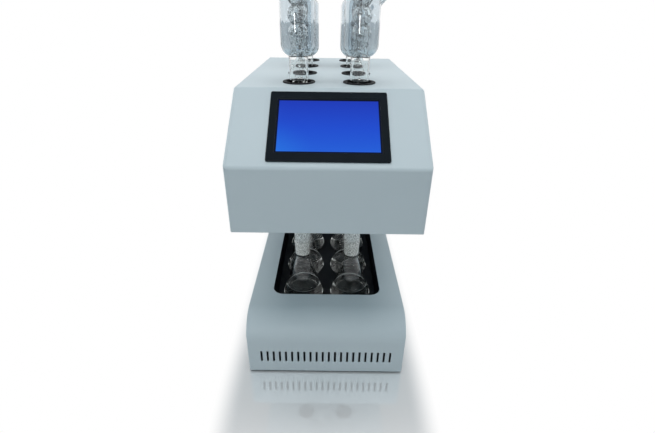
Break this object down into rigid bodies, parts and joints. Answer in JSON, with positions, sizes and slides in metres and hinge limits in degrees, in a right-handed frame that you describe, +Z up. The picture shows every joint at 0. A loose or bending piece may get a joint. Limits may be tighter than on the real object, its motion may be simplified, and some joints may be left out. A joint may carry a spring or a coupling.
{
  "type": "block digester",
  "caption": "Bench digester: heated well with conical flasks, reflux condensers standing in them, and a head on a rear column with a sloped display.",
  "frame": {"origin": "centre of the footprint, on the bench under the feet", "axes": "+Z up, -Y towards the front with the display, +X to the right seen from the front"},
  "size_m": [0.3, 0.62, 0.7045],
  "materials": {
    "housing_paint": "fine textured powder coat",
    "inner_steel": "zinc plated sheet",
    "zinc_screw": "zinc plated",
    "black_liner": "matt black heat-proof coat",
    "black_plate": "matt black non-stick coat",
    "element_sheath": "heat tinted",
    "fibre_board": "ceramic fibre board",
    "black_rubber": "smooth",
    "black_plastic": "fine moulded texture",
    "white_plastic": "moulded",
    "red_plastic": "moulded",
    "plated_brass": "nickel plated",
    "raw_aluminium": "extruded",
    "circuit_board": "solder mask",
    "screen_glass": "lit display behind glass",
    "clear_glass": "borosilicate"
  },
  "bodies": {
    "root": {"base_cover": "housing_paint", "base_pan": "inner_steel", "feet": "black_rubber", "foot_screws": "zinc_screw", "well_liner": "black_liner", "hot_plate": "black_plate", "heating_elements": "element_sheath", "insulation_board": "fibre_board", "heat_shield": "inner_steel", "plate_standoffs": "zinc_screw", "thermocouple": "zinc_screw", "power_supply": "raw_aluminium", "relay_heat_sink": "raw_aluminium", "solid_state_relay": "white_plastic", "terminal_block": "white_plastic", "column_cover": "housing_paint", "column_uprights": "inner_steel", "head_rails": "inner_steel", "rear_panel": "housing_paint", "rear_panel_screws": "zinc_screw", "power_inlet": "black_plastic", "inlet_pins": "plated_brass", "switch_frame": "black_plastic", "fan_frame": "black_plastic", "fan_guard": "zinc_screw", "fan_screws": "zinc_screw", "head_cover": "housing_paint", "head_cheeks": "housing_paint", "head_floor": "housing_paint", "head_floor_screws": "zinc_screw", "grommets": "black_rubber", "guide_sleeves": "black_plastic", "display_bezel": "black_plastic", "display_glass": "screen_glass", "display_gasket": "black_rubber", "display_module": "raw_aluminium", "control_board": "circuit_board", "board_standoffs": "plated_brass"},
    "switch": {"switch_rocker": "red_plastic"},
    "fuse_holder": {"fuse_drawer": "black_plastic", "fuse": "clear_glass"},
    "fan": {"fan_rotor": "black_plastic"},
    "flask_1_body": {"flask_1": "clear_glass"},
    "flask_2_body": {"flask_2": "clear_glass"},
    "flask_3_body": {"flask_3": "clear_glass"},
    "flask_4_body": {"flask_4": "clear_glass"},
    "flask_5_body": {"flask_5": "clear_glass"},
    "flask_6_body": {"flask_6": "clear_glass"},
    "flask_7_body": {"flask_7": "clear_glass"},
    "flask_8_body": {"flask_8": "clear_glass"},
    "condenser_1_body": {"condenser_1": "clear_glass", "water_jacket_1": "clear_glass"},
    "condenser_2_body": {"condenser_2": "clear_glass", "water_jacket_2": "clear_glass"},
    "condenser_3_body": {"condenser_3": "clear_glass", "water_jacket_3": "clear_glass"},
    "condenser_4_body": {"condenser_4": "clear_glass", "water_jacket_4": "clear_glass"}
  },
  "joints": [
    {"name": "flask_1_lift", "type": "slide", "parent": "root", "child": "flask_1_body", "axis": [0, 0, 1], "range_m": [0, 0.06]},
    {"name": "flask_2_lift", "type": "slide", "parent": "root", "child": "flask_2_body", "axis": [0, 0, 1], "range_m": [0, 0.06]},
    {"name": "flask_3_lift", "type": "slide", "parent": "root", "child": "flask_3_body", "axis": [0, 0, 1], "range_m": [0, 0.06]},
    {"name": "flask_4_lift", "type": "slide", "parent": "root", "child": "flask_4_body", "axis": [0, 0, 1], "range_m": [0, 0.06]},
    {"name": "flask_5_lift", "type": "slide", "parent": "root", "child": "flask_5_body", "axis": [0, 0, 1], "range_m": [0, 0.06]},
    {"name": "flask_6_lift", "type": "slide", "parent": "root", "child": "flask_6_body", "axis": [0, 0, 1], "range_m": [0, 0.06]},
    {"name": "flask_7_lift", "type": "slide", "parent": "root", "child": "flask_7_body", "axis": [0, 0, 1], "range_m": [0, 0.06]},
    {"name": "flask_8_lift", "type": "slide", "parent": "root", "child": "flask_8_body", "axis": [0, 0, 1], "range_m": [0, 0.06]},
    {"name": "condenser_1_lift", "type": "slide", "parent": "flask_1_body", "child": "condenser_1_body", "axis": [0, 0, 1], "range_m": [0, 0.355]},
    {"name": "condenser_2_lift", "type": "slide", "parent": "flask_2_body", "child": "condenser_2_body", "axis": [0, 0, 1], "range_m": [0, 0.355]},
    {"name": "condenser_3_lift", "type": "slide", "parent": "flask_5_body", "child": "condenser_3_body", "axis": [0, 0, 1], "range_m": [0, 0.355]},
    {"name": "condenser_4_lift", "type": "slide", "parent": "flask_6_body", "child": "condenser_4_body", "axis": [0, 0, 1], "range_m": [0, 0.355]},
    {"name": "switch_rock", "type": "hinge", "parent": "root", "child": "switch", "pos_m": [-0.09, 0.302, 0.0985], "axis": [1, 0, 0], "range_deg": [-12, 0]},
    {"name": "fuse_drawer_pull", "type": "slide", "parent": "root", "child": "fuse_holder", "axis": [0, 1, 0], "range_m": [0, 0.016]},
    {"name": "fan_spin", "type": "hinge", "parent": "root", "child": "fan", "pos_m": [0.08, 0.3045, 0.065], "axis": [0, 1, 0], "continuous": true}
  ]
}
